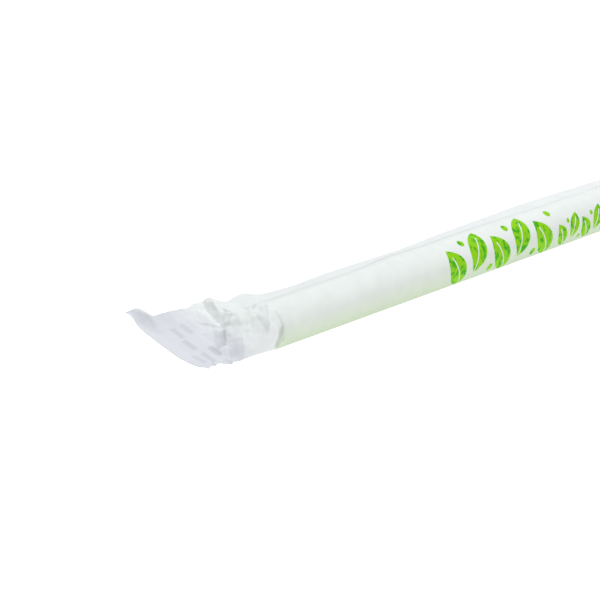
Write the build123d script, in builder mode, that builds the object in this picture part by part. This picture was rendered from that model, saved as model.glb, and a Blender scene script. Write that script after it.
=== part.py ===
"""A plastic drinking straw sealed in its paper wrapper, lying on a table.

The straw is a plain tube, cut square at both ends. The wrapper is one strip of thin paper folded
round it. Its long edges are sealed together as a fin on the +Y side, and its ends are pressed flat
and sealed with ribs.

Millimetres and degrees. X runs along the straw and Z is up. The origin is on the table, under the
middle of the straw's axis.
"""

from build123d import *
import os
from math import acos, asin, atan2, cos, degrees, radians, sin, sqrt
from types import SimpleNamespace

# Straw
straw_length = 197.0
straw_diameter = 7.0
straw_wall = 0.18

# Paper and its play round the straw
paper = 0.06
side_play = 0.12
floor_play = 0.05
end_play = 0.5

# Fin: its root stands this far off the paper round the straw
fin_root_gap = 3.02
fin_depth = 3.0
fin_tilt = 3.6

# The slack lower ply lies on the table this far past the axis, then bends up at this radius
slack_reach = 1.3
slack_bend = 2.5

# Sealed ends
seal_length = 7.75
seal_ribs = 5
rib_height = 0.2
ply_gap = 0.06

# Length of wrapper past each end of the straw
front_tail = 18.0
back_tail = 14.0

# How far the middle of each seal's width stands off the straw's axis, and its rise to the fin side
front_seal_shift = 4.4
front_seal_lift = 1.45
front_seal_tilt = 22.3
back_seal_shift = 1.5
back_seal_lift = 0.1
back_seal_tilt = 3.6

# Worked out from the sizes above
straw_radius = straw_diameter / 2
wrap_radius = straw_radius + side_play + paper
axis_height = straw_radius + floor_play + paper
tube_half = straw_length / 2 + end_play
fin_root_reach = wrap_radius + fin_root_gap
stack = 2 * paper + ply_gap
fold_half_angle = degrees(asin(stack / 2 / wrap_radius))
front_end = -straw_length / 2 - front_tail
back_end = straw_length / 2 + back_tail
front_seal = front_end + seal_length
back_seal = back_end - seal_length


def direction(angle):
    """Unit vector at an angle in a cross-section, from +Y towards +Z."""
    return Vector(cos(radians(angle)), sin(radians(angle)))


def touch_angle(centre, radius, point, side):
    """Angle round a circle where the tangent from an outside point touches it."""
    to_point = point - centre
    bearing = degrees(atan2(to_point.Y, to_point.X))
    return bearing + side * degrees(acos(radius / to_point.length))


def shape_round_straw(depth):
    """Points of the wrapper's cross-section round the straw, taken in by depth from its outside.

    A circle round the straw is cut by the table. The upper ply leaves it at a tangent for the fin's
    root. The lower ply lies on the table, bends up and goes straight to the root.
    """
    axis = Vector(0, axis_height)
    radius = wrap_radius - depth
    half_flat = sqrt(radius**2 - (axis_height - depth) ** 2)
    bend_centre = Vector(slack_reach, slack_bend)
    bend_radius = slack_bend - depth
    half_root = direction(fin_tilt + 90) * (ply_gap / 2 if depth else paper)
    root = axis + direction(fin_tilt) * fin_root_reach
    return SimpleNamespace(
        axis=axis,
        radius=radius,
        flat_angle=180 + degrees(acos(half_flat / radius)),
        flat_start=Vector(-half_flat, depth),
        flat_end=Vector(slack_reach, depth),
        bend_centre=bend_centre,
        bend_radius=bend_radius,
        bend_angle=touch_angle(bend_centre, bend_radius, root - half_root, -1),
        upper_angle=touch_angle(axis, radius, root + half_root, 1),
        root_upper=root + half_root,
        root_lower=root - half_root,
    )


def arc(centre, radius, start, end):
    """Arc of a circle between two angles."""
    return ThreePointArc(*[centre + direction(a) * radius for a in (start, (start + end) / 2, end)])


def at_section(x, lines):
    """Edges of lines drawn flat, stood up across the straw at x."""
    return [Plane.YZ.offset(x).from_local_coords(line.edge()) for line in lines]


def tube_outline(x, depth):
    """Edges of the wrapper's cross-section where it holds the straw, in order round it."""
    s = shape_round_straw(depth)
    fold_low = 180 + fold_half_angle
    fold_high = 180 - fold_half_angle
    fin = direction(fin_tilt) * fin_depth
    with BuildLine():
        edges = [
            Line(s.flat_end, s.flat_start),
            arc(s.axis, s.radius, s.flat_angle, fold_low),
            arc(s.axis, s.radius, fold_low, fold_high),
            arc(s.axis, s.radius, fold_high, s.upper_angle),
            Line(s.axis + direction(s.upper_angle) * s.radius, s.root_upper),
        ]
        if depth:
            edges += [Line(s.root_upper, s.root_lower)]
        else:
            edges += [
                Line(s.root_upper, s.root_upper + fin),
                Line(s.root_upper + fin, s.root_lower + fin),
                Line(s.root_lower + fin, s.root_lower),
            ]
        edges += [
            Line(s.root_lower, s.bend_centre + direction(s.bend_angle) * s.bend_radius),
            arc(s.bend_centre, s.bend_radius, s.bend_angle, -90),
        ]
    return at_section(x, edges)


# Lengths of the two plies from the near fold, up to each corner of the cross-section. The paper
# keeps its length, so a flat seal is as wide as their mean and the fin.
outside = shape_round_straw(0)
low_near = radians(outside.flat_angle - 180) * outside.radius
low_flat = low_near + outside.flat_end.X - outside.flat_start.X
low_bend = low_flat + radians(outside.bend_angle + 90) * outside.bend_radius
low_reach = (outside.root_lower - outside.bend_centre).length
low_ply = low_bend + sqrt(low_reach**2 - outside.bend_radius**2)
high_over = radians(180 - outside.upper_angle) * outside.radius
high_ply = high_over + sqrt((outside.root_upper - outside.axis).length ** 2 - outside.radius**2)
root_across = (low_ply + high_ply) / 2
seal_width = root_across + fin_depth


def near_edge(shift, lift, tilt):
    """Near edge of a seal whose middle stands off the straw's axis by shift and lift."""
    return Vector(shift, axis_height + lift) - direction(tilt) * seal_width / 2


def flat_outline(x, depth, shift, lift, tilt):
    """The same outline pressed flat, with as many edges in the same order."""
    half_stack = stack / 2 - depth
    corners = [
        (root_across * low_flat / low_ply, -1),
        (root_across * low_near / low_ply, -1),
        (depth, -1),
        (depth, 1),
        (root_across * high_over / high_ply, 1),
        (root_across, 1),
        (root_across, -1),
        (root_across * low_bend / low_ply, -1),
    ]
    if not depth:
        corners[6:6] = [(seal_width, 1), (seal_width, -1)]
    near = near_edge(shift, lift, tilt)
    up = direction(tilt + 90) * half_stack
    points = [near + direction(tilt) * across + up * side for across, side in corners]
    with BuildLine():
        edges = [Line(a, b) for a, b in zip(points, points[1:] + points[:1])]
    return at_section(x, edges)


def ruled_solid(first, last):
    """Solid between two closed outlines, with a ruled face between each edge and its partner."""
    sides = [Face.make_surface_from_curves(a, b) for a, b in zip(first, last)]
    ends = [Face(Wire(outline)) for outline in (first, last)]
    return Solid(Shell(sides + ends))


def seal_profile(plane):
    """Ribs of a seal seen from its near edge: a wave of joined arcs, one stack of paper thick."""
    half_wave = seal_length / seal_ribs / 2
    with BuildSketch(plane) as profile:
        with BuildLine():
            for side in (-1, 1):
                for number in range(2 * seal_ribs):
                    start = number * half_wave
                    crest = rib_height if number % 2 else -rib_height
                    level = side * stack / 2
                    ThreePointArc(
                        (start, level),
                        (start + half_wave / 2, level + crest),
                        (start + half_wave, level),
                    )
            Line((0, -stack / 2), (0, stack / 2))
            Line((seal_length, -stack / 2), (seal_length, stack / 2))
        make_face()
    return profile.sketch


def seal_plane(x, outward, shift, lift, tilt):
    """Plane at a seal's near edge: its x points out to the wrapper's end, its normal to the fin."""
    near = near_edge(shift, lift, tilt)
    across = direction(tilt)
    return Plane((x, near.X, near.Y), x_dir=(outward, 0, 0), z_dir=(0, across.X, across.Y))


# --- Straw
with BuildPart() as straw:
    with BuildSketch(Plane.YZ.offset(-straw_length / 2)):
        with Locations((0, axis_height)):
            Circle(straw_radius)
            Circle(straw_radius - straw_wall, mode=Mode.SUBTRACT)
    extrude(amount=straw_length)

# --- Wrapper
front_place = (front_seal_shift, front_seal_lift, front_seal_tilt)
back_place = (back_seal_shift, back_seal_lift, back_seal_tilt)
with BuildPart() as wrapper:
    for depth, mode in ((0, Mode.ADD), (paper, Mode.SUBTRACT)):
        front_mouth = tube_outline(-tube_half, depth)
        back_mouth = tube_outline(tube_half, depth)
        extrude(Face(Wire(front_mouth)), amount=2 * tube_half, dir=(1, 0, 0), mode=mode)
        add(ruled_solid(flat_outline(front_seal, depth, *front_place), front_mouth), mode=mode)
        add(ruled_solid(back_mouth, flat_outline(back_seal, depth, *back_place)), mode=mode)
    extrude(seal_profile(seal_plane(front_seal, -1, *front_place)), amount=seal_width)
    extrude(seal_profile(seal_plane(back_seal, 1, *back_place)), amount=seal_width)

straw.part.label = "straw"
wrapper.part.label = "wrapper"
os.makedirs("parts", exist_ok=True)
export_step(straw.part, "parts/straw.step")
export_step(wrapper.part, "parts/wrapper.step")
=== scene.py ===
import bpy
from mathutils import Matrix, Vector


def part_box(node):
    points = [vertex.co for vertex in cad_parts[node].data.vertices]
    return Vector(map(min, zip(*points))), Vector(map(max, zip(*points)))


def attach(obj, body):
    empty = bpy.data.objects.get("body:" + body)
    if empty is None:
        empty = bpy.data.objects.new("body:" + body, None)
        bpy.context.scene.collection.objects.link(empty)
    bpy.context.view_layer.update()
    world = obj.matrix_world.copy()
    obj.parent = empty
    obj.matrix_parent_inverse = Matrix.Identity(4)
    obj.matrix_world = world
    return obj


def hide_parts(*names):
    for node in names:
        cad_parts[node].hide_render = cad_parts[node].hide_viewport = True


bl_info = {
    "name": "Wrapped Straw",
    "version": (1, 0, 0),
    "blender": (4, 5, 0),
    "location": "View3D > Sidebar > Wrapped Straw",
    "description": "Makes a drinking straw's paper wrapper and finishes the straw inside it",
    "category": "Add Mesh",
}

import math

import bpy
import numpy as np
from bpy.props import FloatProperty, FloatVectorProperty, IntProperty, PointerProperty
from mathutils import Vector

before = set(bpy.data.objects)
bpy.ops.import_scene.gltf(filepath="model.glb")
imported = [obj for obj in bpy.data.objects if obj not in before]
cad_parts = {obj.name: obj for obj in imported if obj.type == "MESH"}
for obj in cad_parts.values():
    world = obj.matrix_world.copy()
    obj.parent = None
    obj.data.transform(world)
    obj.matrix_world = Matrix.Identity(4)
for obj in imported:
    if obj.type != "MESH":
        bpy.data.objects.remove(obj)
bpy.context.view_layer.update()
MM = 0.001

# --- Places taken from the frame: the straw's ends and axis, and the wrapper's tails past them
STRAW_LOW, STRAW_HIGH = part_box("straw")
WRAP_LOW, WRAP_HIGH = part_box("wrapper")
STRAW_RADIUS = (STRAW_HIGH.y - STRAW_LOW.y) / 2
AXIS_Z = (STRAW_HIGH.z + STRAW_LOW.z) / 2
FRONT_TAIL = STRAW_LOW.x - WRAP_LOW.x
BACK_TAIL = WRAP_HIGH.x - STRAW_HIGH.x

# --- The main folds of the front tail, placed in millimetres past the mouth and across the
# ply: start, end, reach on one side, reach on the other, height
FRONT_FOLDS = (
    ((8.0, 5.6), (10.7, 2.5), 3.2, 1.3, 0.35),
    ((7.4, 2.9), (9.8, 0.0), 3.5, 1.4, 0.30),
    ((8.8, 10.4), (7.2, 6.8), 3.0, 0.3, 0.10),
    ((2.6, 13.6), (5.6, 8.6), 3.0, 1.0, 1.0),
    ((4.6, 8.2), (6.4, 6.7), 2.0, 0.7, 0.35),
    ((3.9, 10.2), (4.3, 8.5), 0.4, 0.4, -0.35),
    ((4.3, 3.7), (3.5, 6.0), 2.2, 1.2, 0.30),
    ((3.5, 1.8), (4.3, 4.0), 2.2, 1.2, 0.30),
)

# --- Shade beside the folds, placed the same way: start, end, depth, reach
FRONT_SHADES = (
    ((7.3, 5.8), (10.6, 2.6), 1.00, 2.0),
    ((7.6, 2.8), (9.7, 0.1), 0.36, 3.4),
    ((8.8, 10.0), (7.8, 7.7), 0.50, 0.3),
    ((7.8, 7.7), (6.9, 6.8), 0.50, 0.3),
    ((3.7, 11.8), (5.3, 8.4), 0.45, 0.65),
    ((4.6, 7.4), (6.4, 6.1), 0.50, 0.7),
    ((3.6, 9.8), (4.5, 7.5), 0.40, 0.4),
    ((3.6, 2.2), (4.2, 3.9), 0.40, 1.6),
    ((4.2, 3.7), (3.5, 5.6), 0.35, 2.0),
    ((0.6, 5.0), (3.4, 1.9), 0.32, 1.5),
    ((2.3, 6.5), (1.2, 7.1), 0.70, 0.5),
    ((0.9, 5.0), (0.8, 5.8), 0.55, 0.4),
    ((0.35, 3.7), (0.25, 1.2), 1.00, 0.2),
    ((2.8, 0.1), (0.9, 1.7), 0.60, 1.0),
)

# --- Slow changes along the wrapper. Places are in millimetres from the front mouth
# towards the back end, so they are negative on the front tail. The fin's rise is in degrees and
# the shoulder's in millimetres. A peak of the fin's root is its place, width and height.
FIN_RISE = (
    (-16.7, 14.0), (-15.4, 16.0), (-14.2, -52.0), (-2.8, -52.0), (-1.4, 0.0), (0.2, 24.0),
    (3.0, 18.0), (7.0, 18.0), (12.0, 9.0), (20.0, 3.0), (28.0, 7.0),
    (48.0, 2.0), (60.0, 8.0), (85.0, 13.0), (120.0, 3.0), (150.0, 8.0), (205.0, 4.0),
)
SHOULDER_RISE = ((24.0, 0.0), (33.0, 0.55), (41.0, 0.3), (52.0, 0.4), (62.0, 0.3), (80.0, 0.0))
ROOT_PEAKS = ((-7.0, 2.6, -0.5), (0.2, 1.6, 0.7), (6.0, 3.4, 0.8), (80.0, 18.0, 0.1))

# --- The bars pressed into the seals: distance between rows and between the bars of a row, place
# of the first row and the first bar, and half the size of a bar's flat and of its foot
ROW_GAP, BAR_GAP = 1.9 * MM, 3.3 * MM
FIRST_ROW, FIRST_BAR = 2.2 * MM, 3.2 * MM
FLAT_ALONG, FLAT_ACROSS = 0.3 * MM, 1.0 * MM
FOOT_ALONG, FOOT_ACROSS = 0.6 * MM, 1.4 * MM

# --- Seeds of the random draws
FRONT_BARS_SEED, BACK_BARS_SEED = 3714, 8
FRONT_CRUMPLE_SEED, BACK_CRUMPLE_SEED = 11, 23
WAVE_SEED = 5

# --- The print. Each of the two rows is the place where its first leaf's cell starts, the distance
# from leaf to leaf, and the number of leaves. A midrib is half its width and its share of a leaf.
BIG_ROW = {"start": -56.0 * MM, "pitch": 6.3 * MM, "count": 5}
SMALL_ROW = {"start": -23.9 * MM, "pitch": 3.6 * MM, "count": 8}
LEAF_LEAN = 0.45
MIDRIB, MIDRIB_SHARE = 0.13 * MM, 0.6

WHITE = (1.0, 1.0, 1.0, 1.0)
FLOOR_GREY = (0.25, 0.25, 0.25, 1.0)
FLOOR_HALF, FLOOR_DROP = 3.0, -0.05 * MM


class WrapperSizes(bpy.types.PropertyGroup):
    """Sizes of the folded paper strip"""

    play: FloatProperty(
        name="Play", description="From the straw to the outside of the paper round it",
        default=0.18 * MM, unit="LENGTH", precision=5,
    )
    ply_width: FloatProperty(
        name="Ply Width", description="Width of each ply from the near fold to the fin's root",
        default=13.6 * MM, unit="LENGTH", precision=5,
    )
    fin_depth: FloatProperty(
        name="Fin Depth", description="Depth of the sealed fin",
        default=3.0 * MM, unit="LENGTH", precision=5,
    )
    fin_reach: FloatProperty(
        name="Fin Reach", description="From the straw's axis to the fin's root",
        default=6.7 * MM, unit="LENGTH", precision=5,
    )
    fin_tilt: FloatProperty(
        name="Fin Tilt", description="Rise of the fin away from the straw",
        default=math.radians(3.6), subtype="ANGLE",
    )
    stack: FloatProperty(
        name="Stack", description="Thickness of the two plies pressed together",
        default=0.12 * MM, unit="LENGTH", precision=5,
    )
    slack_bend: FloatProperty(
        name="Slack Bend", description="Radius where the lower ply lifts off what it lies on",
        default=2.5 * MM, unit="LENGTH", precision=5,
    )
    slack_reach: FloatProperty(
        name="Slack Reach", description="How far past the axis the lower ply lies flat",
        default=1.3 * MM, unit="LENGTH", precision=5,
    )
    front_shift: FloatProperty(
        name="Front Shift", description="From the axis to the middle of the front seal, sideways",
        default=4.4 * MM, unit="LENGTH", precision=5,
    )
    front_lift: FloatProperty(
        name="Front Lift", description="From the axis to the middle of the front seal, upwards",
        default=1.45 * MM, unit="LENGTH", precision=5,
    )
    front_tilt: FloatProperty(
        name="Front Tilt", description="Rise of the front seal towards the fin side",
        default=math.radians(22.3), subtype="ANGLE",
    )
    front_sag: FloatProperty(
        name="Front Sag", description="How far the middle of the front seal's end hangs",
        default=1.4 * MM, unit="LENGTH", precision=5,
    )
    back_shift: FloatProperty(
        name="Back Shift", description="From the axis to the middle of the back seal, sideways",
        default=1.5 * MM, unit="LENGTH", precision=5,
    )
    back_lift: FloatProperty(
        name="Back Lift", description="From the axis to the middle of the back seal, upwards",
        default=0.1 * MM, unit="LENGTH", precision=5,
    )
    back_tilt: FloatProperty(
        name="Back Tilt", description="Rise of the back seal towards the fin side",
        default=math.radians(3.6), subtype="ANGLE",
    )
    seal_length: FloatProperty(
        name="Seal Length", description="Length of each pressed end",
        default=7.75 * MM, unit="LENGTH", precision=5,
    )
    knurl_depth: FloatProperty(
        name="Knurl Depth", description="Depth of the bars pressed into the seals",
        default=0.14 * MM, unit="LENGTH", precision=5,
    )
    crumple: FloatProperty(
        name="Crumple", description="Height of the loose creases between straw and seal",
        default=0.26 * MM, unit="LENGTH", precision=5,
    )
    across: IntProperty(
        name="Across", description="Faces across each ply", default=120, min=24,
    )


class Finishes(bpy.types.PropertyGroup):
    """Colours of the paper, the print and the straw"""

    paper: FloatVectorProperty(
        name="Paper", description="Colour of the loose paper",
        default=(0.78, 0.815, 0.81), size=3, subtype="COLOR", min=0, max=1,
    )
    # Painted shade: the pressed ends and part of the fin are coloured greyer and cooler than the
    # loose paper.
    shaded: FloatVectorProperty(
        name="Seal Shade", description="Colour of the pressed paper past the straw",
        default=(0.675, 0.695, 0.74), size=3, subtype="COLOR", min=0, max=1,
    )
    # Partly the straw's green showing through the paper, partly painted shade: this colour is darker
    # than the paper and is used most towards the bottom of the straw.
    backed_and_shaded: FloatVectorProperty(
        name="Straw Tint and Shade", description="Colour of the paper where the straw shows through it",
        default=(0.52, 0.63, 0.43), size=3, subtype="COLOR", min=0, max=1,
    )
    # Partly the pressed paper's own greyer tone, partly painted shade in the bars' dents.
    bar_dents_and_shade: FloatVectorProperty(
        name="Pressed Bars and Shade", description="Colour of the bars pressed into the seals",
        default=(0.55, 0.56, 0.62), size=3, subtype="COLOR", min=0, max=1,
    )
    # Painted shade in the folds, between the teeth, at the mouth and along the far shoulder
    fold_shade_paint: FloatVectorProperty(
        name="Fold Shade", description="Colour of the deepest shade in the folds",
        default=(0.46, 0.49, 0.52), size=3, subtype="COLOR", min=0, max=1,
    )
    print_light: FloatVectorProperty(
        name="Print Light", description="Lighter green of the print",
        default=(0.25, 0.60, 0.002), size=3, subtype="COLOR", min=0, max=1,
    )
    print_dark: FloatVectorProperty(
        name="Print Dark", description="Darker green of the print",
        default=(0.05, 0.40, 0.002), size=3, subtype="COLOR", min=0, max=1,
    )
    straw: FloatVectorProperty(
        name="Straw", description="Colour of the straw's plastic",
        default=(0.40, 0.68, 0.006), size=3, subtype="COLOR", min=0, max=1,
    )


class StageSettings(bpy.types.PropertyGroup):
    """Camera, floor and light"""

    azimuth: FloatProperty(
        name="Azimuth", description="Turn of the camera about the object, 0 looks along +Y",
        default=math.radians(-53.05), subtype="ANGLE",
    )
    elevation: FloatProperty(
        name="Elevation", description="How far the camera looks down",
        default=math.radians(15.23), subtype="ANGLE",
    )
    target: FloatVectorProperty(
        name="Target", description="What the camera looks at",
        default=(-72.41 * MM, 13.24 * MM, -0.07 * MM), size=3, subtype="TRANSLATION",
    )
    distance: FloatProperty(
        name="Distance", description="From the camera to what it looks at",
        default=536.2 * MM, unit="LENGTH",
    )
    lens: FloatProperty(
        name="Lens", description="Focal length in millimetres on a 36 mm sensor", default=203.8,
    )
    sky: FloatProperty(name="Sky", description="Strength of the even white light", default=0.52)
    key: FloatProperty(
        name="Key", description="Power of the main soft light, in watts", default=2.6,
    )
    fill_share: FloatProperty(
        name="Fill Share", description="Power of the second light as a share of the main one",
        default=0.46,
    )
    floor_glow: FloatProperty(
        name="Floor Glow", description="Light the floor gives off, so that it stays white",
        default=0.92,
    )


# --- Small shape functions on whole arrays

def ease(value, low, high):
    """0 below low, 1 above high, and a cubic ease between them."""
    t = np.clip((value - low) / (high - low), 0.0, 1.0)
    return t * t * (3.0 - 2.0 * t)


def fade(value, low, high):
    """1 below low, 0 above high, and a cubic ease between them."""
    return ease(-value, -high, -low)


def hill(value, centre, width):
    """A bell of height 1 about centre: e to the power of -((value - centre) / width) squared."""
    return np.exp(-(((value - centre) / width) ** 2))


def zigzag(turns):
    """A triangle wave: 1 at whole turns, 0 halfway between them."""
    return np.abs(turns % 1.0 * 2.0 - 1.0)


def by_eye(at, points, blur):
    """Straight lines between given points (place, value), rounded by a bell as wide as
    blur."""
    places, values = zip(*points)
    offsets = np.linspace(-2.0, 2.0, 9) * blur
    weights = np.exp(-((offsets / blur) ** 2))
    rows = [k * np.interp(at + o, places, values) for o, k in zip(offsets, weights)]
    return sum(rows) / weights.sum()


def about_line(s, t, start, end):
    """Place along the line from start to end, 0 to 1, and signed distance off it."""
    (s0, t0), (s1, t1) = start, end
    length = math.hypot(s1 - s0, t1 - t0)
    ds, dt = (s1 - s0) / length, (t1 - t0) / length
    return ((s - s0) * ds + (t - t0) * dt) / length, (s - s0) * dt - (t - t0) * ds


def crease(s, t, start, end, side_a, side_b, height):
    """A ridge along the line from start to end. It falls off straight over side_a on the side where
    the distance off the line is positive and over side_b on the other, and is eased out past its
    ends. A negative height makes it a valley."""
    run, off = about_line(s, t, start, end)
    tent = np.clip(1.0 - np.where(off > 0, off / side_a, -off / side_b), 0.0, 1.0)
    return height * tent * ease(run, -0.25, 0.15) * fade(run, 0.85, 1.25)


def fold_shade(s, t, start, end, depth, reach):
    """Darkening beside a fold: full at the line, on the side that side_b of a crease falls off on,
    none on the other side, and gone after the distance reach."""
    run, off = about_line(s, t, start, end)
    beside = fade(off, -0.06, 0.06) * np.clip(1.0 + np.minimum(off, 0.0) / reach, 0.0, 1.0)
    return depth * beside * ease(run, -0.12, 0.06) * fade(run, 0.94, 1.12)


def facets(x, w, cell, seed, layers=5):
    """Crumpled paper: triangle waves in scattered directions, each layer finer and lower than the
    last, added up so that flat patches meet in creases. A slow sine bends each wave a little."""
    rng = np.random.default_rng(seed)
    finer = 0.66
    total = np.zeros(np.broadcast(x, w).shape)
    for layer in range(layers):
        turn, phase = rng.uniform(0.0, math.pi), rng.uniform()
        size = cell * finer ** layer * rng.uniform(0.85, 1.15)
        along = x * math.sin(turn) + w * math.cos(turn)
        across = x * math.cos(turn) - w * math.sin(turn)
        bend = 0.3 * np.sin(2.0 * math.pi * along / (2.3 * size))
        total += (zigzag(across / size + bend + phase) - 0.5) * finer ** layer
    return total


# --- The wrapper's paper

def touch_angle(centre, radius, point, side):
    """Angle round a circle at which the tangent from an outside point touches it."""
    dy, dz = point[0] - centre[0], point[1] - centre[1]
    return math.atan2(dz, dy) + side * math.acos(radius / math.hypot(dy, dz))


def arc_points(centre, radius, start, end, count=48):
    """Points on an arc, as rows of (across, up)."""
    angles = np.linspace(start, end, count)
    return np.asarray(centre) + radius * np.stack([np.cos(angles), np.sin(angles)], -1)


def round_ply(w, sizes, upper):
    """Where a ply runs across the straw, at distance w from the near fold up to the fin's root.

    The upper ply follows the circle round the straw from the near side over the top, then runs
    straight to the root. The lower ply follows it down to what it lies on, lies flat, bends up and
    runs straight to the root. Distances are scaled so that both plies end at the same w.
    """
    radius = STRAW_RADIUS + sizes.play
    root = sizes.fin_reach * np.array([math.cos(sizes.fin_tilt), math.sin(sizes.fin_tilt)])
    root[1] += AXIS_Z + (sizes.stack / 2 if upper else -sizes.stack / 2)
    if upper:
        leave = touch_angle((0.0, AXIS_Z), radius, root, 1)
        path = arc_points((0.0, AXIS_Z), radius, math.pi, leave)
    else:
        down = math.acos(AXIS_Z / radius)
        bend = (sizes.slack_reach, sizes.slack_bend)
        up = touch_angle(bend, sizes.slack_bend, root, -1)
        path = np.concatenate([
            arc_points((0.0, AXIS_Z), radius, math.pi, 1.5 * math.pi - down),
            arc_points(bend, sizes.slack_bend, -math.pi / 2, up),
        ])
    path = np.concatenate([path, [root]])
    steps = np.concatenate([[0.0], np.cumsum(np.hypot(*np.diff(path, axis=0).T))])
    place = np.clip(w / sizes.ply_width, 0.0, 1.0) * steps[-1]
    return np.interp(place, steps, path[:, 0]), np.interp(place, steps, path[:, 1])


def flat_ply(w, sizes, upper, shift, lift, tilt):
    """Where a pressed ply runs: a straight line at a tilt about the seal's middle, half the two
    plies' thickness above or below it, up to the fin's root. The plies part over the first 0.3 mm
    from the near fold."""
    parting = 0.3 * MM
    along = np.minimum(w, sizes.ply_width) - (sizes.ply_width + sizes.fin_depth) / 2
    side = np.minimum(w / parting, 1.0) * (sizes.stack / 2 if upper else -sizes.stack / 2)
    y = shift + along * math.cos(tilt) - side * math.sin(tilt)
    z = AXIS_Z + lift + along * math.sin(tilt) + side * math.cos(tilt)
    return y, z


def stations():
    """Places along the wrapper: close together where it is creased, wide apart where it is plain.
    Each span is where it starts, where it ends and about how far apart its places are."""
    creased_to, puckered_to = STRAW_LOW.x + 2 * MM, STRAW_LOW.x + 12 * MM
    plain_to = STRAW_HIGH.x - 3 * MM
    spans = [
        (WRAP_LOW.x, creased_to, 0.12 * MM),
        (creased_to, puckered_to, 0.3 * MM),
        (puckered_to, plain_to, 2.0 * MM),
        (plain_to, WRAP_HIGH.x, 0.2 * MM),
    ]
    parts = [np.linspace(a, b, math.ceil((b - a) / step), endpoint=False) for a, b, step in spans]
    return np.concatenate([*parts, [WRAP_HIGH.x]])


def fin_angle(x):
    """How far the fin rises: with slow waves along the straw, lifted at the front mouth, turned
    down beside the front seal and up again at its corner."""
    return np.radians(by_eye((x - STRAW_LOW.x) / MM, FIN_RISE, 0.3))


def root_lift(x):
    """How far the fin's root rises above its place: a sum of bells, which are a puckered peak at the
    front mouth, another and a faint rise behind it, and a dip over the front tail."""
    from_mouth = (x - STRAW_LOW.x) / MM
    return MM * sum(height * hill(from_mouth, place, width) for place, width, height in ROOT_PEAKS)


def shoulder_lift(x):
    """How far the upper ply stands off the straw's far shoulder: it fits loosely for a stretch."""
    return MM * by_eye((x - STRAW_LOW.x) / MM, SHOULDER_RISE, 2.0)


def knurl(s, t, seed):
    """How deep the seal's bars are pressed, 0 to 1: rows of short bars across the wrapper, each
    one pressed with its own force and a little out of place. s counts from the tail's end."""
    rng = np.random.default_rng(seed)
    rows, bars = 64, 16
    stray = 0.3
    row = (s - FIRST_ROW) / ROW_GAP
    bar = (t - FIRST_BAR) / BAR_GAP
    force = np.clip(rng.uniform(-0.6, 1.0, (rows, bars)), 0.0, 1.0)
    astray = rng.uniform(-stray, stray, (2, rows, bars)) * MM
    which_row = np.clip(np.round(row), 0, rows - 1).astype(int)
    which_bar = np.clip(np.round(bar), 0, bars - 1).astype(int)
    off_row = np.abs((row - np.round(row)) * ROW_GAP + astray[0][which_row, which_bar])
    off_bar = np.abs((bar - np.round(bar)) * BAR_GAP + astray[1][which_row, which_bar])
    shape = fade(off_row, FLAT_ALONG, FOOT_ALONG) * fade(off_bar, FLAT_ACROSS, FOOT_ACROSS)
    return force[which_row, which_bar] * shape


def seal_bars(past, t, tail, begin, full, seed):
    """How deep a tail is pressed, for past the straw's end and t across: the bars come in from
    begin to full, and end just before the tail does."""
    within = ease(past, begin, full) * fade(past, tail - 1.4 * MM, tail - 0.3 * MM)
    return within * knurl(tail - past, t, seed)


def crumpled(past, t, sizes, flatter, flattest, left, seed):
    """Height of a tail's loose creases: they start at the straw's end, and between the places
    flatter and flattest they are pressed down to the share left."""
    cell = 5.0 * MM
    loose = ease(past, -1.0 * MM, 2.5 * MM) * (1.0 - (1.0 - left) * ease(past, flatter, flattest))
    return sizes.crumple * facets(past, t, cell, seed) * loose


def main_creases(s, t):
    """Height of the front tail's main folds, and of the groove where the paper is drawn in round
    the straw's rim."""
    groove_depth = 0.12 * MM
    folds = MM * sum(crease(s / MM, t / MM, *fold) for fold in FRONT_FOLDS)
    groove = -groove_depth * hill(s, 0.35 * MM, 0.25 * MM) * hill(t, 2.2 * MM, 1.3 * MM)
    return (folds + groove) * ease(s, -0.5 * MM, 1.0 * MM)


def sag(s, t, sizes):
    """How far the front tail hangs: 1 - |2 t / held - 1| cubed, growing towards its end. The width
    that hangs, held, is a ply's, and at the very end it takes in the fin too."""
    held = sizes.ply_width + sizes.fin_depth * ease(s, 15.6 * MM, 17.9 * MM)
    bow = 1.0 - np.abs(np.clip(2.0 * t / held - 1.0, -1.0, 1.0)) ** 3
    return -sizes.front_sag * bow * ease(s, 5 * MM, 17.5 * MM)


def front_share(s, w, upper):
    """Share of the flat seal in the section at s past the straw's mouth, 0 to 1.

    Next to the fin it grows fast, as 1 - (1 - s / 4.5 mm) squared. Elsewhere it grows slowly, as
    s / reach to the power 1.7, with a reach of 12.5 mm at the near fold that shrinks to 6.5 mm at
    7.5 mm across. The lower ply's share becomes an even ease over 11 mm away from the near fold.
    """
    fast_reach, slow_reach, lower_reach = 4.5 * MM, 12.5 * MM, 11.0 * MM
    slow_until, fast_from = 7.5 * MM, 12.5 * MM
    fast = 1.0 - (1.0 - np.clip(s / fast_reach, 0.0, 1.0)) ** 2
    reach = slow_reach - 0.8 * np.minimum(w, slow_until)
    slow = np.clip(s / reach, 0.0, 1.0) ** 1.7
    if not upper:
        slow = slow + (ease(s, 0.0, lower_reach) - slow) * ease(w, 0.0, 4.0 * MM)
    return fast + (slow - fast) * fade(w, slow_until, fast_from)


def back_share(back):
    """Share of the flat seal past the straw's back end: 1 - (1 - back / 6 mm) squared."""
    reach = 6.0 * MM
    return 1.0 - (1.0 - np.clip(back / reach, 0.0, 1.0)) ** 2


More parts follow.
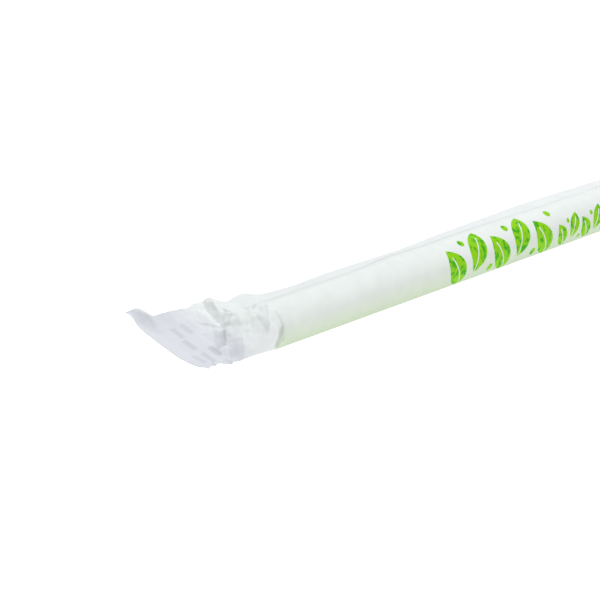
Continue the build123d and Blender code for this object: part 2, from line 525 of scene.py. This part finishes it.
def near_fold_dip(s, w, upper):
    """How far the near fold sinks past the mouth: full at 2 mm and shrinking as
    (1 - s / 14.5 mm) to the power 0.6, over a strip that is wider on the upper ply."""
    depth, reach = 2.1 * MM, 14.5 * MM
    strip = (4.5 if upper else 3.0) * MM
    along = ease(s, -0.5 * MM, 2.0 * MM) * np.clip(1.0 - s / reach, 0.0, 1.0) ** 0.6
    return depth * along * fade(w, 0.0, strip)


def near_fold_teeth(s, w):
    """How far the seal's rows ruffle the near fold: a triangle wave, one tooth for each row."""
    height, strip = 0.6 * MM, 1.4 * MM
    teeth = zigzag(s / ROW_GAP) * ease(s, 9 * MM, 12 * MM) * fade(s, 16.5 * MM, 17.9 * MM)
    return height * teeth * fade(w, 0.0, strip)


def wrapper_ply(x, w, sizes, upper):
    """One ply as a grid of points over the stations x and the distances w from the near fold.

    The section is the round one over the straw and a straight one at each seal, and between them a
    mix of the two by front_share and back_share. The fin's root, the far shoulder and the near
    fold are then moved, and the fin leaves the root as a straight line at its own angle, with a
    curl at the front corner.
    """
    curl_height = 0.5 * MM
    s = STRAW_LOW.x - x[:, None]
    back = x[:, None] - STRAW_HIGH.x
    w = w[None, :]
    to_front, to_back = front_share(s, w, upper), back_share(back)
    y, z = round_ply(w, sizes, upper)
    front = flat_ply(w, sizes, upper, sizes.front_shift, sizes.front_lift, sizes.front_tilt)
    rear = flat_ply(w, sizes, upper, sizes.back_shift, sizes.back_lift, sizes.back_tilt)
    y = y + to_front * (front[0] - y) + to_back * (rear[0] - y)
    z = z + to_front * (front[1] - z) + to_back * (rear[1] - z)
    z = z + root_lift(x)[:, None] * ease(w, 7.0 * MM, sizes.ply_width) ** 1.3
    if upper:
        z = z + shoulder_lift(x)[:, None] * hill(w, 8.2 * MM, 2.2 * MM)
    z = np.maximum(z - near_fold_dip(s, w, upper), 0.0)
    y = y + near_fold_teeth(s, w)
    past = np.maximum(w - sizes.ply_width, 0.0)
    angle = fin_angle(x)[:, None]
    curl = curl_height * np.sin(math.pi * past / sizes.fin_depth) * ease(s, 14.5 * MM, 16.5 * MM)
    y = y + past * np.cos(angle)
    z = z + past * np.sin(angle) + curl
    return np.stack([np.broadcast_to(x[:, None], y.shape), y, z], -1)


def grid_normals(points):
    """Unit normals of a grid of points, from the cross product of its two slopes."""
    along, across = np.gradient(points, axis=0), np.gradient(points, axis=1)
    normal = np.cross(along, across)
    return normal / np.maximum(np.linalg.norm(normal, axis=-1, keepdims=True), 1e-12)


def wrapper_grid(sizes):
    """Places along and across the paper, both plies with their relief added along their normals,
    and how deep the bars are pressed.

    The relief is the front tail's sag, both tails' creases and the pressed bars. The upper ply
    also waves faintly. The lower ply follows the relief only where it lies against the upper one.
    """
    wave_height, wave_cell = 0.015 * MM, 22.0 * MM
    x = stations()
    w = np.linspace(0.0, sizes.ply_width + sizes.fin_depth, sizes.across + 1)
    s = STRAW_LOW.x - x[:, None]
    back = x[:, None] - STRAW_HIGH.x
    t = w[None, :]
    front_seal = FRONT_TAIL - sizes.seal_length
    back_seal = BACK_TAIL - sizes.seal_length
    front_span = (front_seal - 1.2 * MM, front_seal + 0.4 * MM)
    back_span = (back_seal - 1.0 * MM, back_seal)
    bar_dents_and_shade = seal_bars(s, t, FRONT_TAIL, *front_span, FRONT_BARS_SEED)
    bar_dents_and_shade = bar_dents_and_shade + seal_bars(back, t, BACK_TAIL, *back_span, BACK_BARS_SEED)
    creased = crumpled(s, t, sizes, 7 * MM, 12 * MM, 0.25, FRONT_CRUMPLE_SEED)
    creased = creased + crumpled(back, t, sizes, 5 * MM, 8 * MM, 0.2, BACK_CRUMPLE_SEED)
    relief = sag(s, t, sizes) + main_creases(s, t) + creased - sizes.knurl_depth * bar_dents_and_shade
    wave = wave_height * facets(x[:, None], t, wave_cell, WAVE_SEED, 3)
    against = ease(s, 5.0 * MM, 9.0 * MM) + ease(back, 3.0 * MM, 6.0 * MM)
    beside_fold = ease(t, 0.0, 1.5 * MM)
    plies = []
    for upper in (True, False):
        points = wrapper_ply(x, w, sizes, upper)
        lift = (relief + wave if upper else relief * against) * beside_fold
        plies.append(points + grid_normals(points) * lift[..., None])
    return x, w, plies, bar_dents_and_shade


def ring_rows(upper, lower):
    """Two plies' rows joined into rings: over the upper ply from the near fold, and back under the
    lower one from the fin's edge to just short of the near fold, which they share."""
    return np.concatenate([upper, lower[:, :0:-1]], axis=1)


def closed_skin(name, x, w, plies):
    """One closed mesh: each station's ring runs over the upper ply and back under the lower one,
    and a strip closes each end. Its UV map runs along the wrapper and round it from the near fold,
    in metres."""
    rings, last = len(x), len(w) - 1
    ring = ring_rows(*plies)
    size = ring.shape[1]
    index = np.arange(rings * size).reshape(rings, size)
    after = np.roll(index, -1, axis=1)
    sides = np.stack([index[:-1], index[1:], after[1:], after[:-1]], -1).reshape(-1, 4)
    under = np.concatenate([[0], np.arange(size - 1, last, -1)])
    faces = sides.tolist()
    for end, turn in ((0, 1), (rings - 1, -1)):
        top, bottom = index[end, : last + 1], index[end, under]
        strip = np.stack([top[1:-1], top[2:], bottom[2:], bottom[1:-1]], -1)
        tip = np.array([top[0], top[1], bottom[1]])
        faces += strip[:, ::turn].tolist() + [tip[::turn].tolist()]
    mesh = bpy.data.meshes.new(name)
    mesh.from_pydata(ring.reshape(-1, 3), [], faces)
    corners = np.empty(len(mesh.loops), np.int32)
    mesh.loops.foreach_get("vertex_index", corners)
    along = np.repeat(x, size)
    around = np.tile(np.concatenate([w, -w[:0:-1]]), rings)
    uv = np.stack([along[corners], around[corners]], -1)
    face_of = np.repeat(np.arange(len(faces)), [len(face) for face in faces])
    fin_edge = (face_of < len(sides)) & (face_of % size == last)
    uv[fin_edge | (face_of >= len(sides)), 1] = w[-1]
    layer = mesh.uv_layers.new(name="paper")
    layer.data.foreach_set("uv", uv.astype(np.float32).ravel())
    mesh.polygons.foreach_set("use_smooth", np.ones(len(faces), bool))
    mesh.set_sharp_from_angle(angle=math.radians(60))
    mesh.update()
    return mesh


def paint(mesh, name, upper, lower):
    """A number at each point of the mesh, for its material to read, from one grid for each ply."""
    attribute = mesh.attributes.new(name, "FLOAT", "POINT")
    attribute.data.foreach_set("value", ring_rows(upper, lower).astype(np.float32).ravel())


def mouth_pinch(s, w):
    """Where the paper is drawn in under the straw's rim, on the near side: a patch of two bells. It
    takes painted shade there and more of the straw's green.
    """
    return hill(s, 0.65 * MM, 0.55 * MM) * hill(w, 0.9 * MM, 0.65 * MM)


def painted_fold_shade(s, back, w, sizes):
    """How much painted shade the upper ply takes, 0 to 1: beside the front tail's main folds,
    between the teeth at the near fold, in the pinch at the mouth and along the straw's far shoulder.
    The fin has none."""
    teeth_share, pinch_share, shoulder_share = 0.5, 0.4, 0.4
    beside = sum(fold_shade(s / MM, w / MM, *shade) for shade in FRONT_SHADES)
    teeth = zigzag(s / ROW_GAP + 0.5) * hill(w, 0.1 * MM, 0.5 * MM)
    teeth = teeth * ease(s, 9 * MM, 11 * MM) * fade(s, 15 * MM, 17 * MM)
    # Painted shade: a band along the straw's far shoulder
    shoulder = ease(w, 5.8 * MM, 7.6 * MM) * fade(w, 8.5 * MM, 10.5 * MM)
    shoulder = shoulder * fade(s, -3 * MM, -0.5 * MM) * fade(back, -3 * MM, 0.0)
    dark = beside + teeth_share * teeth + pinch_share * mouth_pinch(s, w)
    dark = np.clip(dark + shoulder_share * shoulder, 0.0, 1.0)
    return dark * (w < sizes.ply_width)


def straw_tint_and_low_shade(points, s, back, w, sizes):
    """How much of the straw's darker green a ply takes, 0 to 1: only over the straw and close to it,
    where the straw shows through, and more the lower the paper lies on it, which is painted shade.
    It is most where it is pinched at the mouth, partly as painted shade."""
    least, low_share, pinch_share = 0.08, 0.76, 0.6
    touching = STRAW_RADIUS + sizes.play
    apart = np.hypot(points[..., 1], points[..., 2] - AXIS_Z)
    close = fade(apart, touching + 0.1 * MM, touching + 1.6 * MM)
    # Painted shade: the lower the paper lies, the more of the darker green it takes
    low = fade(points[..., 2], 0.6 * MM, 6.4 * MM)
    edge = 0.3 * MM + 2.2 * MM * fade(w, 0.6 * MM, 1.6 * MM)
    over = fade(s, edge - 0.4 * MM, edge) * fade(back, -0.6 * MM, 0.3 * MM)
    pinch = mouth_pinch(s, w) + 0.6 * hill(s, 2.0 * MM, 0.4 * MM) * hill(w, 0.0, 0.7 * MM)
    shows = np.minimum(least + low_share * low ** 1.4 + pinch_share * pinch, 1.0)
    return over * close * shows


def seal_shade_share(s, back, w, sizes):
    """How much painted shade the paper takes at the seals, 0 to 1: wholly at both ends, where the
    plies are pressed onto each other, and partly in the fin."""
    fin_share = 0.3
    ends = ease(s, 4 * MM, 12 * MM) + ease(back, 1 * MM, 6 * MM)
    fin = ease(w, sizes.ply_width - 0.1 * MM, sizes.ply_width + 0.2 * MM)
    return np.maximum(ends, fin_share * fin)


# --- Materials

class Wiring:
    """Adds nodes to one material and joins them"""

    def __init__(self, name):
        self.material = bpy.data.materials.new(name)
        self.material.use_nodes = True
        self.tree = self.material.node_tree
        self.shader = self.tree.nodes["Principled BSDF"]

    def node(self, kind, inputs=(), **settings):
        """A new node, with its settings, and its inputs fed by name or number."""
        made = self.tree.nodes.new(kind)
        for key, value in settings.items():
            setattr(made, key, value)
        for socket, value in dict(inputs).items():
            self.feed(made.inputs[socket], value)
        return made

    def feed(self, socket, value):
        """Joins an output to the socket, or gives it a plain value."""
        if isinstance(value, bpy.types.NodeSocket):
            self.tree.links.new(value, socket)
        else:
            socket.default_value = value

    def math(self, operation, *values):
        """One step of arithmetic on numbers or outputs."""
        return self.node("ShaderNodeMath", enumerate(values), operation=operation).outputs[0]

    def mix(self, factor, first, second):
        """The first colour at a factor of 0, the second at 1."""
        made = self.node("ShaderNodeMix", data_type="RGBA")
        colour_mix = (made.inputs[0], made.inputs[6], made.inputs[7])
        for socket, value in zip(colour_mix, (factor, first, second)):
            self.feed(socket, value)
        return made.outputs[2]

    def scaled(self, colour, factor):
        """A colour times a number."""
        made = self.node("ShaderNodeVectorMath", {0: colour, 1: factor}, operation="MULTIPLY")
        return made.outputs[0]

    def noise(self, vector, scale, detail=3.0, roughness=0.5):
        """Soft random clouds, scale of them to a metre."""
        inputs = {"Vector": vector, "Scale": scale, "Detail": detail, "Roughness": roughness}
        return self.node("ShaderNodeTexNoise", inputs).outputs[0]

    def spread(self, value, from_min=0.0, from_max=1.0, to_min=0.0, to_max=1.0):
        """A value's range from from_min to from_max moved to to_min to to_max, and held there."""
        inputs = {
            "Value": value, "From Min": from_min, "From Max": from_max,
            "To Min": to_min, "To Max": to_max,
        }
        return self.node("ShaderNodeMapRange", inputs).outputs[0]

    def painted(self, name):
        """A number painted on the mesh."""
        return self.node("ShaderNodeAttribute", attribute_name=name).outputs["Fac"]

    def stretched(self, place, along):
        """The place with its length along the straw scaled, so that a pattern on it is drawn out."""
        inputs = {"Vector": place, "Scale": (along, 1.0, 1.0)}
        return self.node("ShaderNodeMapping", inputs).outputs[0]

    def bumped(self, height, strength, distance):
        """Fine relief in the shader's surface."""
        inputs = {"Height": height, "Strength": strength, "Distance": distance}
        self.feed(self.shader.inputs["Normal"], self.node("ShaderNodeBump", inputs).outputs[0])


def rgba(colour):
    """A colour with full opacity, as a node's socket takes it."""
    return (*colour, 1.0)


def row_cell(wire, u, start, pitch):
    """Which cell of a printed row a point is in, the side that its cell leans to, -1 and 1 by
    turns, and the distance along from the cell's middle."""
    do = wire.math
    cell = do("DIVIDE", do("SUBTRACT", u, start), pitch)
    number = do("FLOOR", cell)
    side = do("SUBTRACT", do("MULTIPLY", do("PINGPONG", number, 1.0), 2.0), 1.0)
    return number, side, do("MULTIPLY", do("SUBTRACT", do("FRACT", cell), 0.5), pitch)


def within_row(wire, inside, number, first, last):
    """The mask inside kept only in the cells from first to last."""
    do = wire.math
    started = do("GREATER_THAN", number, first - 0.5)
    unfinished = do("LESS_THAN", number, last + 0.5)
    return do("MULTIPLY", inside, do("MULTIPLY", started, unfinished))


def leaf_row(wire, u, v, start, pitch, count, middle, length, width):
    """Mask of a row of printed leaves. Each leaf is the lens between two arcs, so a point belongs
    to it where its distance off the midrib is under width * (1 - (place / length) squared). Leaves
    lean one way and the other by turns, and a bare midrib runs up each."""
    do = wire.math
    number, side, a = row_cell(wire, u, start, pitch)
    b = do("SUBTRACT", v, do("ADD", middle, do("MULTIPLY", side, 0.25 * length)))
    a = do("MULTIPLY", a, side)
    sine, cosine = math.sin(LEAF_LEAN), math.cos(LEAF_LEAN)
    place = do("ADD", do("MULTIPLY", a, sine), do("MULTIPLY", b, cosine))
    off = do("ABSOLUTE", do("SUBTRACT", do("MULTIPLY", a, cosine), do("MULTIPLY", b, sine)))
    share = do("DIVIDE", place, length)
    edge = do("MULTIPLY", do("SUBTRACT", 1.0, do("MULTIPLY", share, share)), width)
    midrib = do("MULTIPLY", do("LESS_THAN", off, MIDRIB), do("LESS_THAN", share, MIDRIB_SHARE))
    inside = do("MULTIPLY", do("GREATER_THAN", edge, off), do("SUBTRACT", 1.0, midrib))
    return within_row(wire, inside, number, 0, count - 1)


def dot_row(wire, u, v, start, pitch, count, middle, swing, radius):
    """Mask of a row of printed dots, one after each leaf and high and low by turns: a point belongs
    to a dot where its distance from the dot's middle is under radius."""
    do = wire.math
    number, side, a = row_cell(wire, u, start - pitch / 2, pitch)
    b = do("SUBTRACT", v, do("ADD", middle, do("MULTIPLY", side, swing)))
    apart = do("SQRT", do("ADD", do("MULTIPLY", a, a), do("MULTIPLY", b, b)))
    return within_row(wire, do("LESS_THAN", apart, radius), number, 1, count)


def printed(wire):
    """Mask of all the print: the big leaves and dots, and the small ones."""
    uv = wire.node("ShaderNodeUVMap", uv_map="paper").outputs[0]
    split = wire.node("ShaderNodeSeparateXYZ", {0: uv})
    u, v = split.outputs["X"], split.outputs["Y"]
    rows = (
        leaf_row(wire, u, v, **BIG_ROW, middle=0.9 * MM, length=4.0 * MM, width=2.2 * MM),
        leaf_row(wire, u, v, **SMALL_ROW, middle=-0.2 * MM, length=2.4 * MM, width=1.35 * MM),
        dot_row(wire, u, v, **BIG_ROW, middle=1.1 * MM, swing=2.9 * MM, radius=0.7 * MM),
        dot_row(wire, u, v, **SMALL_ROW, middle=-0.2 * MM, swing=1.7 * MM, radius=0.42 * MM),
    )
    mask = rows[0]
    for row in rows[1:]:
        mask = wire.math("MAXIMUM", mask, row)
    return mask


def paper_material(colours):
    """Thin white paper with painted shade: greyer and cooler where it is pressed, darker in its
    folds, and in the pressed bars partly its own greyer tone, partly painted shade. It is green
    where the straw shows through, more so lower down as painted shade, with long fibres in its
    surface and a green print of leaves."""
    wire = Wiring("wrapper_paper")
    place = wire.node("ShaderNodeTexCoord").outputs["Object"]
    cloud = wire.noise(place, 420.0, 4.0)
    # Painted shade: greyer and cooler at the pressed ends and partly on the fin
    colour = wire.mix(wire.painted("seal_shade"), rgba(colours.paper), rgba(colours.shaded))
    # The straw showing through, with painted shade: darker and greener towards the bottom
    colour = wire.mix(wire.painted("straw_tint_and_shade"), colour, rgba(colours.backed_and_shaded))
    # The bars' dents: partly the paper's own greyer tone, partly painted shade
    bars = wire.math("MULTIPLY", wire.painted("bar_dents_and_shade"), 0.8)
    colour = wire.mix(bars, colour, rgba(colours.bar_dents_and_shade))
    # Painted shade in the folds, at the mouth and along the far shoulder
    folds = wire.math("MULTIPLY", wire.painted("fold_shade_paint"), 0.8)
    colour = wire.mix(folds, colour, rgba(colours.fold_shade_paint))
    colour = wire.scaled(colour, wire.spread(cloud, 0.3, 0.7, 0.97, 1.02))
    blotches = wire.spread(wire.noise(place, 900.0, 2.0), 0.5, 0.62)
    ink = wire.mix(blotches, rgba(colours.print_light), rgba(colours.print_dark))
    wire.feed(wire.shader.inputs["Base Color"], wire.mix(printed(wire), colour, ink))
    wire.feed(wire.shader.inputs["Roughness"], wire.spread(cloud, to_min=0.56, to_max=0.72))
    wire.shader.inputs["Specular IOR Level"].default_value = 0.15
    fibres = wire.noise(wire.stretched(place, 0.35), 2600.0, 3.0, 0.6)
    fine, coarse = wire.math("MULTIPLY", fibres, 0.4), wire.math("MULTIPLY", cloud, 0.25)
    wire.bumped(wire.math("ADD", coarse, fine), 0.25, 0.05 * MM)
    return wire.material


def straw_material(colours):
    """Glossy green plastic with the faint lengthwise lines that drawing the tube leaves."""
    wire = Wiring("straw_plastic")
    place = wire.node("ShaderNodeTexCoord").outputs["Object"]
    lines = wire.noise(wire.stretched(place, 0.02), 2200.0, 3.0)
    shade = wire.spread(wire.noise(place, 60.0, 2.0), 0.3, 0.7, 0.94, 1.04)
    wire.feed(wire.shader.inputs["Base Color"], wire.scaled(colours.straw, shade))
    wire.feed(wire.shader.inputs["Roughness"], wire.spread(lines, to_min=0.18, to_max=0.3))
    wire.bumped(lines, 0.12, 0.02 * MM)
    return wire.material


# --- Operators

def link(name, data):
    """A new object in the scene for a mesh, a light or a camera, at the origin."""
    made = bpy.data.objects.new(name, data)
    bpy.context.scene.collection.objects.link(made)
    return made


class WRAPPEDSTRAW_OT_wrapper(bpy.types.Operator):
    """Make the folded paper wrapper round the straw"""

    bl_idname = "wrapped_straw.wrapper"
    bl_label = "Paper Wrapper"

    def execute(self, context):
        sizes = context.scene.wrapper_sizes
        x, w, plies, bar_dents_and_shade = wrapper_grid(sizes)
        mesh = closed_skin("paper_wrapper", x, w, plies)
        s = STRAW_LOW.x - x[:, None]
        back = x[:, None] - STRAW_HIGH.x
        t = w[None, :]
        # Painted shade in the upper ply's folds, at the mouth and along the far shoulder
        fold_shade_paint = painted_fold_shade(s, back, t, sizes)
        # Painted shade at the pressed ends and partly on the fin
        seal_shade = seal_shade_share(s, back, t, sizes)
        # The bars are painted greyer: partly the paper's own tone, partly painted shade in their
        # dents
        paint(mesh, "bar_dents_and_shade", bar_dents_and_shade, bar_dents_and_shade)
        paint(mesh, "fold_shade_paint", fold_shade_paint, np.zeros_like(fold_shade_paint))
        # The straw showing through each ply, with painted shade towards the bottom
        paint(mesh, "straw_tint_and_shade", *[straw_tint_and_low_shade(ply, s, back, t, sizes) for ply in plies])
        paint(mesh, "seal_shade", seal_shade, seal_shade)
        mesh.materials.append(paper_material(context.scene.wrapper_finishes))
        wrapper = link("paper_wrapper", mesh)
        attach(wrapper, "root")
        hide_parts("wrapper")
        return {"FINISHED"}


class WRAPPEDSTRAW_OT_straw(bpy.types.Operator):
    """Give the straw its plastic"""

    bl_idname = "wrapped_straw.straw"
    bl_label = "Straw Plastic"

    def execute(self, context):
        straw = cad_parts["straw"]
        plastic = straw_material(context.scene.wrapper_finishes)
        for slot in straw.material_slots:
            slot.material = plastic
        return {"FINISHED"}


class WRAPPEDSTRAW_OT_stage(bpy.types.Operator):
    """Set up the white floor, the soft lights and the camera"""

    bl_idname = "wrapped_straw.stage"
    bl_label = "Stage"

    def execute(self, context):
        stage = context.scene.straw_stage
        self.add_floor(stage)
        self.add_light(context, stage)
        self.add_camera(context, stage)
        return {"FINISHED"}

    def add_floor(self, stage):
        """A square that glows evenly, just below what lies on it."""
        half = FLOOR_HALF
        mesh = bpy.data.meshes.new("floor")
        corners = [(-half, -half, 0), (half, -half, 0), (half, half, 0), (-half, half, 0)]
        mesh.from_pydata(corners, [], [(0, 1, 2, 3)])
        wire = Wiring("floor_white")
        wire.shader.inputs["Base Color"].default_value = FLOOR_GREY
        wire.shader.inputs["Roughness"].default_value = 0.9
        wire.shader.inputs["Specular IOR Level"].default_value = 0.0
        wire.shader.inputs["Emission Color"].default_value = WHITE
        wire.shader.inputs["Emission Strength"].default_value = stage.floor_glow
        mesh.materials.append(wire.material)
        floor = link("floor", mesh)
        floor.location.z = FLOOR_DROP

    def add_light(self, context, stage):
        """An even white sky and two square lights that face the target."""
        world = bpy.data.worlds.new("soft_white")
        world.use_nodes = True
        sky = world.node_tree.nodes["Background"]
        sky.inputs["Color"].default_value = WHITE
        sky.inputs["Strength"].default_value = stage.sky
        context.scene.world = world
        aim = Vector(stage.target)
        # Each light is its name, its place from the target, its size and its power
        lights = [
            ("key", Vector((0.28, 0.08, 0.6)), 0.25, stage.key),
            ("fill", Vector((-0.45, -0.5, 0.3)), 0.4, stage.fill_share * stage.key),
        ]
        for name, offset, size, power in lights:
            lamp = bpy.data.lights.new(name, "AREA")
            lamp.size = size
            lamp.energy = power
            made = link(name, lamp)
            made.location = aim + offset
            made.rotation_euler = (-offset).to_track_quat("-Z", "Y").to_euler()
        context.scene.view_settings.view_transform = "Standard"

    def add_camera(self, context, stage):
        """A camera at the stage's turn, height and distance, which faces the target."""
        lens = bpy.data.cameras.new("camera")
        lens.lens = stage.lens
        lens.sensor_width = 36.0
        lens.clip_start, lens.clip_end = 0.05, 10.0
        camera = link("camera", lens)
        level = math.cos(stage.elevation)
        back = Vector((
            math.sin(stage.azimuth) * level,
            -math.cos(stage.azimuth) * level,
            math.sin(stage.elevation),
        ))
        camera.location = Vector(stage.target) + back * stage.distance
        camera.rotation_euler = (-back).to_track_quat("-Z", "Y").to_euler()
        context.scene.camera = camera


class WRAPPEDSTRAW_PT_sidebar(bpy.types.Panel):
    """Sizes, colours and the three steps"""

    bl_idname = "WRAPPEDSTRAW_PT_sidebar"
    bl_label = "Wrapped Straw"
    bl_space_type = "VIEW_3D"
    bl_region_type = "UI"
    bl_category = "Wrapped Straw"

    def draw(self, context):
        scene = context.scene
        for group in (scene.wrapper_sizes, scene.wrapper_finishes, scene.straw_stage):
            box = self.layout.box()
            for key in group.__annotations__:
                box.prop(group, key)
        for operator in OPERATORS:
            self.layout.operator(operator.bl_idname)


OPERATORS = (WRAPPEDSTRAW_OT_wrapper, WRAPPEDSTRAW_OT_straw, WRAPPEDSTRAW_OT_stage)
CLASSES = (WrapperSizes, Finishes, StageSettings, *OPERATORS, WRAPPEDSTRAW_PT_sidebar)


def register():
    for cls in CLASSES:
        bpy.utils.register_class(cls)
    bpy.types.Scene.wrapper_sizes = PointerProperty(type=WrapperSizes)
    bpy.types.Scene.wrapper_finishes = PointerProperty(type=Finishes)
    bpy.types.Scene.straw_stage = PointerProperty(type=StageSettings)


def unregister():
    del bpy.types.Scene.straw_stage
    del bpy.types.Scene.wrapper_finishes
    del bpy.types.Scene.wrapper_sizes
    for cls in reversed(CLASSES):
        bpy.utils.unregister_class(cls)


def main():
    register()
    bpy.ops.wrapped_straw.wrapper()
    bpy.ops.wrapped_straw.straw()
    bpy.ops.wrapped_straw.stage()


if __name__ == "__main__":
    main()
